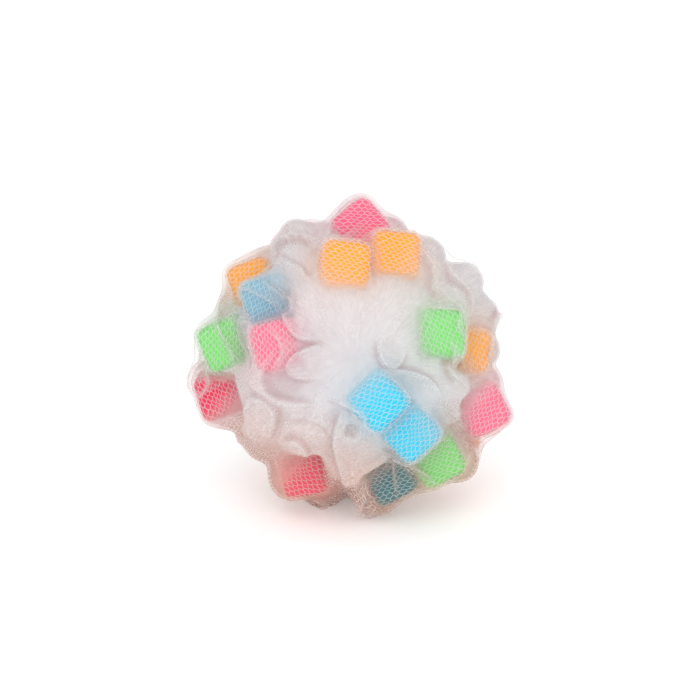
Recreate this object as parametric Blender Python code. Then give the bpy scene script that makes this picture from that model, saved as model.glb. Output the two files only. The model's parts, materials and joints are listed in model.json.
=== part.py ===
"""Mesh bath pouf: a ball of white knitted netting with soft sponge blocks.

A long tube of netting is drawn together at its middle by one tie. Everything
outside the tie fans out as ruffles, which are rounded loops of netting that
open towards the surface of the ball. Coloured sponge blocks sit between the
ruffles near the surface. Metres, +Z up, origin on the surface that the ball
rests on, below its middle.

Places on the ball are given as on a clock face that is seen along the gather
axis: a clock angle, clockwise from the top, and a polar angle, from the axis.
"""

import math

import bmesh
import bpy
from mathutils import Matrix, Vector

# The ball
BALL_RADIUS = 0.0615       # gather to the top of an ordinary ruffle
PACKED_RADIUS = 0.0520     # inside this the netting is packed solid
CENTRE_HEIGHT = 0.0600     # gather above the rest surface: the ball sinks a little
CENTRE_RIGHT = 0.0000      # the origin lies below the middle of the ball's box
CENTRE_BACK = 0.0005
GATHER_LEAN = math.radians(20.0)   # how far the gather axis points up from level

# The ruffles
ROOT_RADIUS = 0.0070       # where a ruffle starts, beside the tie
RUFFLE_BREADTH = 0.0340    # along a ruffle's long side, at its widest
RUFFLE_DEPTH = 0.0210      # across its short side
RUFFLE_FLARE = 2.0         # how far out the widest place lies
MOUTH_DEPTH = 0.0070       # how deep a loop opens at its top
MOUTH_SPREAD = 0.48        # share of the ruffle's half width that the mouth takes
SIDE_SWAY = 0.0030         # S-bend along the long side
FRILL_HEIGHT = 0.0008      # scallops round the rim
FRILL_COUNT = 3
RUFFLE_SIDES = 10
RUFFLE_RINGS = 6
CREASE_ANGLE = math.radians(40.0)

# The sponge blocks
BLOCK_SIDE = 0.0185
BLOCK_ROUNDING = 0.0038
BLOCK_STAND_OUT = 0.0010   # a block's outer side above the ruffles' tops
CLEARANCE = 0.0003         # between a block, or the tie, and the netting

# The tie round the gathered middle
WAIST_RADIUS = 0.0055      # the bundle of netting that the tie holds
TIE_THICKNESS = 0.0024
KNOT_RADIUS = 0.0032
TAIL_LENGTH = 0.0240
TAIL_THICKNESS = 0.0016
TAIL_CHANNEL_RADIUS = 0.0024
TAIL_CLOCK = math.radians(330.0)
TAIL_SIDES = 10

# Ruffles that the front shows: clock and polar angle in degrees, reach over
# BALL_RADIUS in millimetres, share of the full breadth, and turn in degrees
SEEN_RUFFLES = [
    (3, 88, 1.5, 0.85, 90), (18, 86, -3.0, 0.70, 70), (36, 84, -3.5, 0.80, 60),
    (57, 84, 0.5, 0.75, 80), (72, 86, 0.5, 0.80, 95), (87, 92, -1.5, 0.70, 80),
    (101, 86, -0.5, 0.70, 60), (113, 91, 4.5, 0.80, 90), (134, 90, 6.5, 0.95, 85),
    (152, 95, -1.0, 0.70, 60), (170, 84, 2.2, 0.85, 90), (192, 92, -3.5, 0.65, 75),
    (207, 90, 0.0, 0.85, 90), (226, 88, -6.0, 0.80, 70), (246, 92, -2.0, 0.85, 80),
    (262, 92, 1.5, 0.90, 90), (278, 84, -1.5, 0.75, 80), (293, 84, -4.5, 0.80, 70),
    (306, 84, -4.0, 0.75, 80), (320, 84, -6.5, 0.75, 60), (336, 86, -2.0, 0.85, 90),
    (173, 55, -2.0, 1.00, 0), (212, 44, -4.0, 0.90, 60), (235, 56, -3.0, 0.95, 110),
    (255, 40, -2.5, 0.80, 20), (268, 20, -2.0, 0.70, 100), (205, 16, -3.0, 0.80, 40),
    (325, 30, -4.0, 0.90, 40), (330, 62, -3.5, 0.95, 80), (309, 55, -6.0, 0.85, 30),
    (0, 22, -4.0, 0.90, 90), (38, 32, -4.0, 0.95, 130), (42, 60, -3.5, 0.95, 60),
    (62, 62, -3.0, 0.90, 100), (80, 24, -4.5, 0.85, 10), (101, 48, -3.5, 0.95, 70),
    (115, 34, -2.5, 0.85, 150), (180, 30, -3.0, 0.80, 30), (112, 58, -3.0, 0.80, 40),
    (300, 10, -6.0, 0.70, 60),
]
# Rings of ruffles on the far side: polar angle, count, reach, and start clock
FAR_RINGS = [(112, 13, -1.5, 12), (137, 9, -1.0, 30), (161, 5, -0.5, 0)]
FAR_BREADTH = 0.95
FAR_TURN = 55.0            # one ruffle to the next
# The ruffles that the ball rests on, round its lowest point
FOOT_RUFFLES = [
    (168, 103, 2.5), (193, 104, 2.5), (180, 124, 2.5), (158, 122, 2.0), (202, 123, 2.0),
]
FOOT_BREADTH = 0.85

# Sponge blocks: name, colour, clock, polar angle, sunk below the others in
# millimetres, then the three turns of the block about its own sides
BLOCKS = [
    ("pink_top", "pink", 6, 82, 1, (16, -44, 0)),
    ("orange_top_left", "orange", 356, 44, 3, (-30, -13, -10)),
    ("orange_top_right", "orange", 22, 60, 3.5, (-40, 15, 23)),
    ("orange_left", "orange", 306, 87, 3, (14, -36, 0)),
    ("blue_left", "blue", 303, 55, 8, (-30, -29, -48)),
    ("green_left", "green", 276, 78, 1, (21, 31, -9)),
    ("pink_left", "pink", 282, 36, 4.5, (-22, 11, 28)),
    ("rose_far_left", "rose", 257, 90, 0, (7, 5, -10)),
    ("rose_bottom_left", "rose", 202, 82, 4, (18, 31, 0)),
    ("cyan_front_upper", "cyan", 148, 22, 2, (-11, 2, 13)),
    ("cyan_front_lower", "cyan", 141, 47, 3.5, (-31, 3, 6)),
    ("teal_bottom", "teal", 162, 82, 3, (18, 12, 0)),
    ("green_bottom_right", "green", 138, 82, 0, (17, -15, 0)),
    ("pink_right", "pink", 112, 83, -3, (17, -41, 0)),
    ("orange_right", "orange", 86, 76, 6, (23, -12, 0)),
    ("green_right", "green", 75, 46, 4, (-31, -11, -20)),
    ("peach_under_right", "peach", 127, 102, 0, (10, 0, 40)),
    ("pink_back_top", "pink", 335, 118, 1, (10, 10, 20)),
    ("green_back_top", "green", 20, 125, 1, (0, 12, 50)),
    ("blue_back_right", "cyan", 72, 112, 1, (12, 0, 10)),
    ("orange_back_right", "orange", 95, 138, 2, (0, 10, 35)),
    ("rose_back_middle", "pink", 30, 160, 1, (8, 8, 15)),
    ("green_back_low", "green", 150, 145, 2, (0, 0, 45)),
    ("orange_back_low", "orange", 215, 138, 2, (10, 0, 25)),
    ("cyan_back_left", "cyan", 262, 135, 1, (0, 12, 10)),
    ("orange_back_left", "orange", 300, 122, 1, (10, 0, 50)),
]

# Finishes: red, green, blue, roughness
FINISHES = {
    "netting": (0.87, 0.85, 0.86, 0.60),
    "pink": (0.96, 0.26, 0.39, 0.90),
    "rose": (0.86, 0.12, 0.20, 0.90),
    "orange": (0.98, 0.48, 0.13, 0.90),
    "peach": (0.93, 0.45, 0.26, 0.90),
    "green": (0.30, 0.79, 0.26, 0.90),
    "cyan": (0.10, 0.62, 0.93, 0.90),
    "blue": (0.16, 0.50, 0.72, 0.90),
    "teal": (0.06, 0.33, 0.42, 0.90),
    "twine": (0.80, 0.78, 0.76, 0.70),
}

MM = 0.001
CENTRE = Vector((CENTRE_RIGHT, CENTRE_BACK, CENTRE_HEIGHT))
AXIS = Vector((0.0, -math.cos(GATHER_LEAN), math.sin(GATHER_LEAN)))
TWELVE = Vector((0.0, math.sin(GATHER_LEAN), math.cos(GATHER_LEAN)))
THREE = Vector((1.0, 0.0, 0.0))


def on_the_ball(clock, polar):
    """The outward direction at a clock and a polar angle, in radians."""
    around = math.sin(clock) * THREE + math.cos(clock) * TWELVE
    return math.cos(polar) * AXIS + math.sin(polar) * around


def facing(outward, turn=0.0):
    """Axes whose Z points outward and whose X lies along the clock."""
    along = AXIS.cross(outward).normalized()
    across = outward.cross(along)
    frame = Matrix((along, across, outward)).transposed()
    return frame @ Matrix.Rotation(turn, 3, "Z")


def finish(name):
    """One plain material for each finish, made once."""
    material = bpy.data.materials.get(name)
    if material is None:
        red, green, blue, roughness = FINISHES[name]
        material = bpy.data.materials.new(name)
        material.use_nodes = True
        shader = material.node_tree.nodes["Principled BSDF"]
        shader.inputs["Base Color"].default_value = (red, green, blue, 1.0)
        shader.inputs["Roughness"].default_value = roughness
        shader.inputs["Metallic"].default_value = 0.0
        material.diffuse_color = (red, green, blue, 1.0)
    return material


def add_object(name, bm, finish_name=None, collection=None):
    """Turn a bmesh into an object; without a finish it is only a guide."""
    mesh = bpy.data.meshes.new(name)
    bm.to_mesh(mesh)
    bm.free()
    obj = bpy.data.objects.new(name, mesh)
    (collection or bpy.context.scene.collection).objects.link(obj)
    if finish_name:
        mesh.materials.append(finish(finish_name))
    else:
        obj.hide_render = True
        obj.display_type = "WIRE"
    return obj


def guide_collection(name):
    collection = bpy.data.collections.new(name)
    bpy.context.scene.collection.children.link(collection)
    return collection


def combine(obj, operation, others):
    """Boolean with one guide object or a collection of them."""
    modifier = obj.modifiers.new(operation.lower(), "BOOLEAN")
    modifier.operation = operation
    modifier.solver = "EXACT"
    if isinstance(others, bpy.types.Collection):
        modifier.operand_type = "COLLECTION"
        modifier.collection = others
    else:
        modifier.object = others


def ruffle(collection, name, clock, polar, reach, breadth_share, turn):
    """One loop of netting: narrow at the gather, wide and open at its top."""
    outward = on_the_ball(math.radians(clock), math.radians(polar))
    top = BALL_RADIUS + reach * MM
    half_breadth = RUFFLE_BREADTH * breadth_share / 2
    half_depth = RUFFLE_DEPTH / 2
    bm = bmesh.new()
    bmesh.ops.create_uvsphere(
        bm, u_segments=RUFFLE_SIDES, v_segments=RUFFLE_RINGS, radius=1.0)
    for vert in bm.verts:
        x, y, z = vert.co
        out_from_axis = math.hypot(x, y)
        rise = 1.0 - (0.5 - z / 2) ** RUFFLE_FLARE
        height = ROOT_RADIUS + (top - ROOT_RADIUS) * rise
        if z > 0:
            height -= MOUTH_DEPTH * math.exp(-(out_from_axis / MOUTH_SPREAD) ** 2)
            height += FRILL_HEIGHT * out_from_axis * math.sin(
                FRILL_COUNT * math.atan2(y, x) + turn)
        sway = SIDE_SWAY * math.sin(math.pi * x) * rise
        vert.co = (x * half_breadth, y * half_depth + sway, height)
    place = facing(outward, math.radians(turn)).to_4x4()
    place.translation = CENTRE
    bmesh.ops.transform(bm, matrix=place, verts=bm.verts)
    add_object(name, bm, collection=collection)


def ruffles():
    """Every ruffle as a guide, in one collection."""
    collection = guide_collection("ruffle_guides")
    plan = [tuple(row) for row in SEEN_RUFFLES]
    for polar, count, reach, start in FAR_RINGS:
        for number in range(count):
            clock = start + number * 360.0 / count
            plan.append((clock, polar, reach, FAR_BREADTH, number * FAR_TURN))
    for number, (clock, polar, reach) in enumerate(FOOT_RUFFLES):
        plan.append((clock, polar, reach, FOOT_BREADTH, number * FAR_TURN))
    for number, row in enumerate(plan, start=1):
        ruffle(collection, f"ruffle_guide_{number:02d}", *row)
    return collection


def block_places():
    """Where each sponge block sits, with neighbours eased apart."""
    places = []
    for name, colour, clock, polar, sunk, turns in BLOCKS:
        outward = on_the_ball(math.radians(clock), math.radians(polar))
        radius = BALL_RADIUS + BLOCK_STAND_OUT - BLOCK_SIDE / 2 - sunk * MM
        tilt_x, tilt_y, spin = (math.radians(turn) for turn in turns)
        frame = facing(outward, spin) @ Matrix.Rotation(tilt_x, 3, "X")
        frame = frame @ Matrix.Rotation(tilt_y, 3, "Y")
        places.append([name, colour, CENTRE + outward * radius, frame])
    ease_apart(places)
    return places


def space_between(first, second):
    """Widest gap between two blocks along any axis that could part them."""
    axes = [first[3].col[i] for i in range(3)] + [second[3].col[i] for i in range(3)]
    axes += [first[3].col[i].cross(second[3].col[j]) for i in range(3) for j in range(3)]
    between = second[2] - first[2]
    widest = -BLOCK_SIDE
    for axis in axes:
        if axis.length < 0.01:
            continue
        axis = axis.normalized()
        reach = sum(abs(axis.dot(place[3].col[i])) for place in (first, second) for i in range(3))
        widest = max(widest, abs(axis.dot(between)) - reach * BLOCK_SIDE / 2)
    return widest


def ease_apart(places):
    """Move blocks that would touch away from each other, a little at a time."""
    for _ in range(200):
        moved = False
        for number, first in enumerate(places):
            for second in places[number + 1:]:
                shortage = 2 * CLEARANCE - space_between(first, second)
                if shortage > 0:
                    push = (second[2] - first[2]).normalized() * (shortage / 2 + CLEARANCE / 3)
                    first[2] = first[2] - push
                    second[2] = second[2] + push
                    moved = True
        if not moved:
            return


def sponge_block(name, colour, centre, frame):
    """A soft cube with rounded edges."""
    bm = bmesh.new()
    bmesh.ops.create_cube(bm, size=BLOCK_SIDE)
    place = frame.to_4x4()
    place.translation = centre
    bmesh.ops.transform(bm, matrix=place, verts=bm.verts)
    block = add_object(f"sponge_{name}", bm, colour)
    bevel = block.modifiers.new("rounding", "BEVEL")
    bevel.width = BLOCK_ROUNDING
    bevel.segments = 2
    bevel.limit_method = "NONE"


def block_pocket(collection, name, centre, frame):
    """The hollow that a block presses into the netting, open outwards."""
    outward = (centre - CENTRE).normalized()
    slopes = [frame.col[i].dot(outward) for i in range(3)]
    side = max(range(3), key=lambda i: abs(slopes[i]))
    half = BLOCK_SIDE / 2 + CLEARANCE
    bm = bmesh.new()
    bmesh.ops.create_cube(bm, size=2 * half)
    open_side = math.copysign(1.0, slopes[side])
    for vert in bm.verts:
        if vert.co[side] * open_side > 0:
            vert.co[side] += open_side * BLOCK_SIDE
    place = frame.to_4x4()
    place.translation = centre
    bmesh.ops.transform(bm, matrix=place, verts=bm.verts)
    add_object(f"pocket_{name}", bm, collection=collection)


def ring(bm, radius, half_thickness, sides, steps):
    """A round ring about Z, made by spinning a circle."""
    circle = bmesh.ops.create_circle(bm, segments=sides, radius=half_thickness)["verts"]
    upright = Matrix.Translation((radius, 0, 0)) @ Matrix.Rotation(math.pi / 2, 4, "X")
    bmesh.ops.transform(bm, matrix=upright, verts=circle)
    edges = [edge for edge in bm.edges if edge.verts[0] in circle]
    bmesh.ops.spin(bm, geom=circle + edges, axis=(0, 0, 1), cent=(0, 0, 0),
                   angle=2 * math.pi, steps=steps, use_merge=True)
    bmesh.ops.remove_doubles(bm, verts=bm.verts, dist=0.00001)
    bmesh.ops.recalc_face_normals(bm, faces=bm.faces)


def tie_frame():
    """Z along the gather axis, X towards the knot."""
    knot_way = on_the_ball(TAIL_CLOCK, math.pi / 2)
    frame = Matrix((knot_way, AXIS.cross(knot_way), AXIS)).transposed().to_4x4()
    frame.translation = CENTRE
    return frame


TIE_RADIUS = WAIST_RADIUS + CLEARANCE + TIE_THICKNESS / 2


def tie_guide(collection, name, shape, grow):
    """One shape of the tie, or of the hollow round it when grown."""
    bm = bmesh.new()
    if shape == "ring":
        ring(bm, TIE_RADIUS, TIE_THICKNESS / 2 + grow, TAIL_SIDES, 24)
    elif shape == "knot":
        bmesh.ops.create_icosphere(bm, subdivisions=2, radius=KNOT_RADIUS + grow)
        bmesh.ops.translate(bm, verts=bm.verts, vec=(TIE_RADIUS + TIE_THICKNESS / 2, 0, 0))
    else:
        side = {"tail_left": 1, "tail_right": -1, "channel": 0}[shape]
        radius = TAIL_CHANNEL_RADIUS if shape == "channel" else TAIL_THICKNESS / 2
        length = 2 * BALL_RADIUS if shape == "channel" else TAIL_LENGTH
        bmesh.ops.create_cone(bm, cap_ends=True, segments=TAIL_SIDES, radius1=radius,
                              radius2=radius, depth=length)
        offset = side * (TAIL_THICKNESS / 2 + CLEARANCE / 2)
        place = Matrix.Translation((TIE_RADIUS + length / 2, offset, 0))
        place = place @ Matrix.Rotation(math.pi / 2, 4, "Y")
        bmesh.ops.transform(bm, matrix=place, verts=bm.verts)
    bmesh.ops.transform(bm, matrix=tie_frame(), verts=bm.verts)
    return add_object(name, bm, collection=collection)


def gather_tie():
    """The twine that holds the middle: a ring, its knot and two short tails."""
    bm = bmesh.new()
    ring(bm, TIE_RADIUS, TIE_THICKNESS / 2, TAIL_SIDES, 24)
    bmesh.ops.transform(bm, matrix=tie_frame(), verts=bm.verts)
    tie = add_object("gather_tie", bm, "twine")
    extras = guide_collection("tie_guides")
    for shape in ("knot", "tail_left", "tail_right"):
        tie_guide(extras, f"tie_{shape}", shape, 0.0)
    combine(tie, "UNION", extras)


def trim_loose_tips(obj):
    """Apply the Booleans and drop ruffle tips that a block's hollow cuts free."""
    depsgraph = bpy.context.evaluated_depsgraph_get()
    solid = bpy.data.meshes.new_from_object(obj.evaluated_get(depsgraph))
    obj.modifiers.clear()
    obj.data = solid
    bm = bmesh.new()
    bm.from_mesh(solid)
    unseen = set(bm.verts)
    bodies = []
    while unseen:
        body = set()
        front = [unseen.pop()]
        while front:
            vert = front.pop()
            body.add(vert)
            for edge in vert.link_edges:
                other = edge.other_vert(vert)
                if other in unseen:
                    unseen.discard(other)
                    front.append(other)
        bodies.append(body)
    main_body = max(bodies, key=len)
    loose = [vert for vert in bm.verts if vert not in main_body]
    bmesh.ops.delete(bm, geom=loose, context="VERTS")
    bm.to_mesh(solid)
    bm.free()
    solid.shade_smooth()
    solid.set_sharp_from_angle(angle=CREASE_ANGLE)


def netting(blocks):
    """The whole tube of netting as one body of ruffles round its gather."""
    bm = bmesh.new()
    bmesh.ops.create_icosphere(bm, subdivisions=2, radius=PACKED_RADIUS)
    bmesh.ops.translate(bm, verts=bm.verts, vec=CENTRE)
    net = add_object("net_ruffles", bm, "netting")
    combine(net, "UNION", ruffles())
    hollows = guide_collection("hollow_guides")
    for name, _, centre, frame in blocks:
        block_pocket(hollows, name, centre, frame)
    for shape in ("ring", "knot", "channel"):
        tie_guide(hollows, f"hollow_{shape}", shape, CLEARANCE)
    floor_depth = BALL_RADIUS / 2
    bm = bmesh.new()
    bmesh.ops.create_cube(bm, size=1.0)
    bmesh.ops.scale(bm, verts=bm.verts, vec=(4 * BALL_RADIUS, 4 * BALL_RADIUS, floor_depth))
    bmesh.ops.translate(bm, verts=bm.verts, vec=(0, 0, -floor_depth / 2))
    add_object("hollow_floor", bm, collection=hollows)
    combine(net, "DIFFERENCE", hollows)
    trim_loose_tips(net)


def main():
    for obj in list(bpy.data.objects):
        bpy.data.objects.remove(obj)
    blocks = block_places()
    netting(blocks)
    for name, colour, centre, frame in blocks:
        sponge_block(name, colour, centre, frame)
    gather_tie()


main()
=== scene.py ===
# %% [markdown]
# A bath pouf is one long tube of knitted nylon netting, tied round its middle
# so that everything outside the tie opens as ruffles. This one also holds soft
# sponge blocks just under its surface. The solid frame gives the places and
# sizes. This script makes what the eye meets: veils of netting, the fine net
# drawn tight over each block, and the sponge itself.

# %% Load the solid frame
import json
import math
import random

import bmesh
import bpy
import numpy as np
from mathutils import Matrix, Vector, noise


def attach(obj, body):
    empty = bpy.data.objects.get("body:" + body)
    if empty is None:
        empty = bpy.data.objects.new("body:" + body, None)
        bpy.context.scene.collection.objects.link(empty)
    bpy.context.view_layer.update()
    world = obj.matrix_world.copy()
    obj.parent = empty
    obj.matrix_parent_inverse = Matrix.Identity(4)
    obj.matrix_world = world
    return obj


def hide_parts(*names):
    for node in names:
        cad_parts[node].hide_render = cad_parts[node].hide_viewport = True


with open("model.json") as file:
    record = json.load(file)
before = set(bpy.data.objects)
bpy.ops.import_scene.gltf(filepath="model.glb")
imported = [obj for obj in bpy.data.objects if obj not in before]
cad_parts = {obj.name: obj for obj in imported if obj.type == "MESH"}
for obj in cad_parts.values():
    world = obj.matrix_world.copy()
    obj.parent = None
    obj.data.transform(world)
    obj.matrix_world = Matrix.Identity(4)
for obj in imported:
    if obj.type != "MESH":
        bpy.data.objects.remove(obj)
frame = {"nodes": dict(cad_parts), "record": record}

NOISE_SEED = 5             # without a seed, noise_vector differs from run to run
noise.seed_set(NOISE_SEED)
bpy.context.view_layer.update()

# %% [markdown]
# Places on the ball are read as on a clock face that is seen along the gather
# axis, which points at the viewer and leans up. A clock angle runs clockwise
# from the top, and a polar angle runs out from the axis.

# %% The ball and its clock face
MM = 0.001
CENTRE = Vector((0.0, 0.0005, 0.0600))
GATHER_LEAN = math.radians(20.0)
BALL_RADIUS = 0.0615
FLOOR_GAP = 0.0004
AXIS = Vector((0.0, -math.cos(GATHER_LEAN), math.sin(GATHER_LEAN)))
TWELVE = Vector((0.0, math.sin(GATHER_LEAN), math.cos(GATHER_LEAN)))
THREE = Vector((1.0, 0.0, 0.0))


def on_the_ball(clock, polar):
    """The outward direction at a clock and a polar angle, in degrees."""
    clock, polar = math.radians(clock), math.radians(polar)
    around = math.sin(clock) * THREE + math.cos(clock) * TWELVE
    return math.cos(polar) * AXIS + math.sin(polar) * around


def facing(outward, turn=0.0):
    """Axes whose Z points outward and whose X lies along the clock."""
    along = AXIS.cross(outward).normalized()
    across = outward.cross(along)
    frame_axes = Matrix((along, across, outward)).transposed()
    return frame_axes @ Matrix.Rotation(math.radians(turn), 3, "Z")


def seen_at(right, up):
    """The outward direction of a place that the front shows, in mm from the gather."""
    flat = Vector((right, up)) * MM
    share = min(0.999, flat.length / BALL_RADIUS)
    around = (flat.x * THREE + flat.y * TWELVE).normalized()
    return math.sqrt(1 - share ** 2) * AXIS + share * around


# %% [markdown]
# Colours are written as on a screen, in sRGB hex. The shader wants linear
# light, so one function turns them.

# %% Colours and shader nodes
def hex_colour(code):
    """sRGB hex to linear red, green, blue and alpha."""
    parts = [int(code[i:i + 2], 16) / 255 for i in (1, 3, 5)]
    linear = [c / 12.92 if c <= 0.04045 else ((c + 0.055) / 1.055) ** 2.4 for c in parts]
    return (*linear, 1.0)


def node(tree, kind, links=None, **settings):
    """Add one node, set what is given, and link its inputs by name or number."""
    made = tree.nodes.new(kind)
    inputs = settings.pop("inputs", {})
    for name, value in settings.items():
        setattr(made, name, value)
    for name, value in inputs.items():
        made.inputs[name].default_value = value
    for name, source in (links or {}).items():
        tree.links.new(source, made.inputs[name])
    return made


def new_material(name):
    material = bpy.data.materials.new(name)
    material.use_nodes = True
    material.node_tree.nodes.clear()
    return material, material.node_tree


# %% [markdown]
# The netting is warp-knitted nylon: rows of long six-sided cells. Here the
# cells are drawn from the sheet's own flat coordinates, in millimetres, so
# they follow each fold. Two grids of points, one shifted by half a cell, make
# the honeycomb, and the distance to the nearest cell edge gives the thread.

# %% The knitted cells as a pattern
CELL_WIDTH = 2.7           # mm, across the knit
CELL_HEIGHT = 1.40         # mm, along the knit
THREAD_SHARE = 0.085       # half a thread beside a cell's width


def honeycomb(tree, coordinates):
    """0 in the middle of a cell, 0.5 on its thread."""
    ratio = 2 / math.sqrt(3)
    stretch = node(tree, "ShaderNodeVectorMath", {0: coordinates}, operation="MULTIPLY",
                   inputs={1: (1 / CELL_WIDTH, 1 / (CELL_HEIGHT * ratio), 0)})
    repeat = (1.0, math.sqrt(3), 1.0)
    half = (0.5, math.sqrt(3) / 2, 0.0)
    edges = []
    for shift in ((0, 0, 0), half):
        moved = node(tree, "ShaderNodeVectorMath", {0: stretch.outputs[0]}, operation="ADD",
                     inputs={1: shift})
        wrapped = node(tree, "ShaderNodeVectorMath", {0: moved.outputs[0]}, operation="WRAP",
                       inputs={1: repeat, 2: (0, 0, 0)})
        centred = node(tree, "ShaderNodeVectorMath", {0: wrapped.outputs[0]},
                       operation="SUBTRACT", inputs={1: half})
        folded = node(tree, "ShaderNodeVectorMath", {0: centred.outputs[0]},
                      operation="ABSOLUTE")
        split = node(tree, "ShaderNodeSeparateXYZ", {0: folded.outputs[0]})
        slant = node(tree, "ShaderNodeVectorMath", {0: folded.outputs[0]},
                     operation="DOT_PRODUCT", inputs={1: (0.5, math.sqrt(3) / 2, 0)})
        edges.append(node(tree, "ShaderNodeMath",
                          {0: slant.outputs["Value"], 1: split.outputs["X"]},
                          operation="MAXIMUM"))
    return node(tree, "ShaderNodeMath", {0: edges[0].outputs[0], 1: edges[1].outputs[0]},
                operation="MINIMUM")


# %% [markdown]
# A single layer hides little, and a fold, where many layers lie close, hides
# nearly all. Modelling each layer would take millions of threads, so a vertex
# attribute, haze, says how much the unseen layers between the threads hide.
# Another, thread, says how strongly the cells stand out, and a third is the netting's colour
# there, with painted shade and painted light in it. Nylon lets light through, so almost half of it
# goes on to the layers behind.

# %% Nylon netting, see-through
STREAKS_ROUND = 34.0       # how closely the streaks stand round the gather
STREAK_FINENESS = 260.0    # and how soon they break off, per metre
STREAK_SHADE = (0.88, 1.04)    # darkest and lightest share of the colour
WANDER = 0.10              # per mm: how quickly the cells' rows change their course
PULL = 9.0                 # mm: how far a row is pulled off its course
THREAD_WHITE = "#FFFCFA"
# Painted shade: the deeper layers that show through the cells are drawn darker, as they lie in
# shade.
SHADE_BETWEEN_THREADS = "#DDBCB1"    # where the deeper layers show through the cells
SHINE_THROUGH = 0.45       # share of the light that passes the nylon


def streak_pattern(tree):
    """Fine streaks that run towards the gather, where the net is drawn together."""
    spot = node(tree, "ShaderNodeTexCoord")
    from_middle = node(tree, "ShaderNodeVectorMath", {0: spot.outputs["Object"]},
                       operation="SUBTRACT", inputs={1: tuple(CENTRE)})
    along = node(tree, "ShaderNodeVectorMath", {0: from_middle.outputs[0]},
                 operation="DOT_PRODUCT", inputs={1: tuple(AXIS)})
    drop = node(tree, "ShaderNodeVectorMath", {"Scale": along.outputs["Value"]},
                operation="SCALE", inputs={0: tuple(AXIS)})
    aside = node(tree, "ShaderNodeVectorMath", {0: from_middle.outputs[0], 1: drop.outputs[0]},
                 operation="SUBTRACT")
    around = node(tree, "ShaderNodeVectorMath", {0: aside.outputs[0]}, operation="NORMALIZE")
    spread = node(tree, "ShaderNodeVectorMath", {0: around.outputs[0]}, operation="SCALE",
                  inputs={"Scale": STREAKS_ROUND})
    both = node(tree, "ShaderNodeVectorMath", {0: from_middle.outputs[0], 2: spread.outputs[0]},
                operation="MULTIPLY_ADD", inputs={1: (STREAK_FINENESS,) * 3})
    return node(tree, "ShaderNodeTexNoise", {"Vector": both.outputs[0]},
                inputs={"Scale": 1.0, "Detail": 3.0, "Roughness": 0.65})


def netting_material():
    material, tree = new_material("knitted_nylon_netting")
    flat = node(tree, "ShaderNodeUVMap", uv_map="flat_mm")
    wander = node(tree, "ShaderNodeTexNoise", {"Vector": flat.outputs[0]},
                  inputs={"Scale": WANDER, "Detail": 2.0})
    pull = node(tree, "ShaderNodeVectorMath", {0: wander.outputs["Color"], 2: flat.outputs[0]},
                operation="MULTIPLY_ADD", inputs={1: (PULL, PULL, 0.0)})
    cell = honeycomb(tree, pull.outputs[0])
    line = node(tree, "ShaderNodeMapRange", {"Value": cell.outputs[0]},
                interpolation_type="SMOOTHSTEP",
                inputs={"From Min": 0.5 - 1.7 * THREAD_SHARE,
                        "From Max": 0.5 - 0.5 * THREAD_SHARE})
    haze = node(tree, "ShaderNodeAttribute", attribute_name="haze")
    strength = node(tree, "ShaderNodeAttribute", attribute_name="thread")
    threads = node(tree, "ShaderNodeMath", {0: line.outputs[0], 1: strength.outputs["Fac"]},
                   operation="MULTIPLY")
    holes = node(tree, "ShaderNodeMath", {1: haze.outputs["Fac"]}, operation="SUBTRACT",
                 inputs={0: 1.0})
    cover = node(tree, "ShaderNodeMath",
                 {0: threads.outputs[0], 1: holes.outputs[0], 2: haze.outputs["Fac"]},
                 operation="MULTIPLY_ADD", use_clamp=True)
    painted_colour = node(tree, "ShaderNodeAttribute", attribute_name="colour_with_painted_light")
    streaks = streak_pattern(tree)
    uneven = node(tree, "ShaderNodeMapRange", {"Value": streaks.outputs["Fac"]},
                  inputs={"From Min": 0.35, "From Max": 0.65, "To Min": STREAK_SHADE[0],
                          "To Max": STREAK_SHADE[1]})
    ground = node(tree, "ShaderNodeMix", {"A": painted_colour.outputs["Color"], "B": uneven.outputs[0]},
                  data_type="RGBA", blend_type="MULTIPLY", inputs={"Factor": 1.0})
    # Painted shade in the gaps between the threads, where the thread strength is high.
    between = node(tree, "ShaderNodeMath", {0: strength.outputs["Fac"], 1: threads.outputs[0]},
                   operation="SUBTRACT")
    shaded_gaps = node(tree, "ShaderNodeMix",
                  {"Factor": between.outputs[0], "A": ground.outputs["Result"]},
                  data_type="RGBA", inputs={"B": hex_colour(SHADE_BETWEEN_THREADS)})
    colour = node(tree, "ShaderNodeMix",
                  {"Factor": threads.outputs[0], "A": shaded_gaps.outputs["Result"]},
                  data_type="RGBA", inputs={"B": hex_colour(THREAD_WHITE)})
    raised = node(tree, "ShaderNodeMath", {0: threads.outputs[0], 1: strength.outputs["Fac"]},
                  operation="MULTIPLY")
    height = node(tree, "ShaderNodeMath", {0: raised.outputs[0], 1: streaks.outputs["Fac"]},
                  operation="ADD")
    relief = node(tree, "ShaderNodeBump", {"Height": height.outputs[0]},
                  inputs={"Strength": 0.55, "Distance": 0.0004})
    front = node(tree, "ShaderNodeBsdfPrincipled",
                 {"Base Color": colour.outputs["Result"], "Normal": relief.outputs[0]},
                 inputs={"Roughness": 0.55, "IOR": 1.53, "Sheen Weight": 0.2,
                         "Sheen Roughness": 0.4})
    through = node(tree, "ShaderNodeBsdfTranslucent", {"Color": colour.outputs["Result"]})
    body = node(tree, "ShaderNodeMixShader", {1: front.outputs[0], 2: through.outputs[0]},
                inputs={0: SHINE_THROUGH})
    clear = node(tree, "ShaderNodeBsdfTransparent")
    mixed = node(tree, "ShaderNodeMixShader",
                 {0: cover.outputs[0], 1: clear.outputs[0], 2: body.outputs[0]})
    node(tree, "ShaderNodeOutputMaterial", {"Surface": mixed.outputs[0]})
    return material


netting = netting_material()
print(netting.name, len(netting.node_tree.nodes), "nodes")

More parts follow.
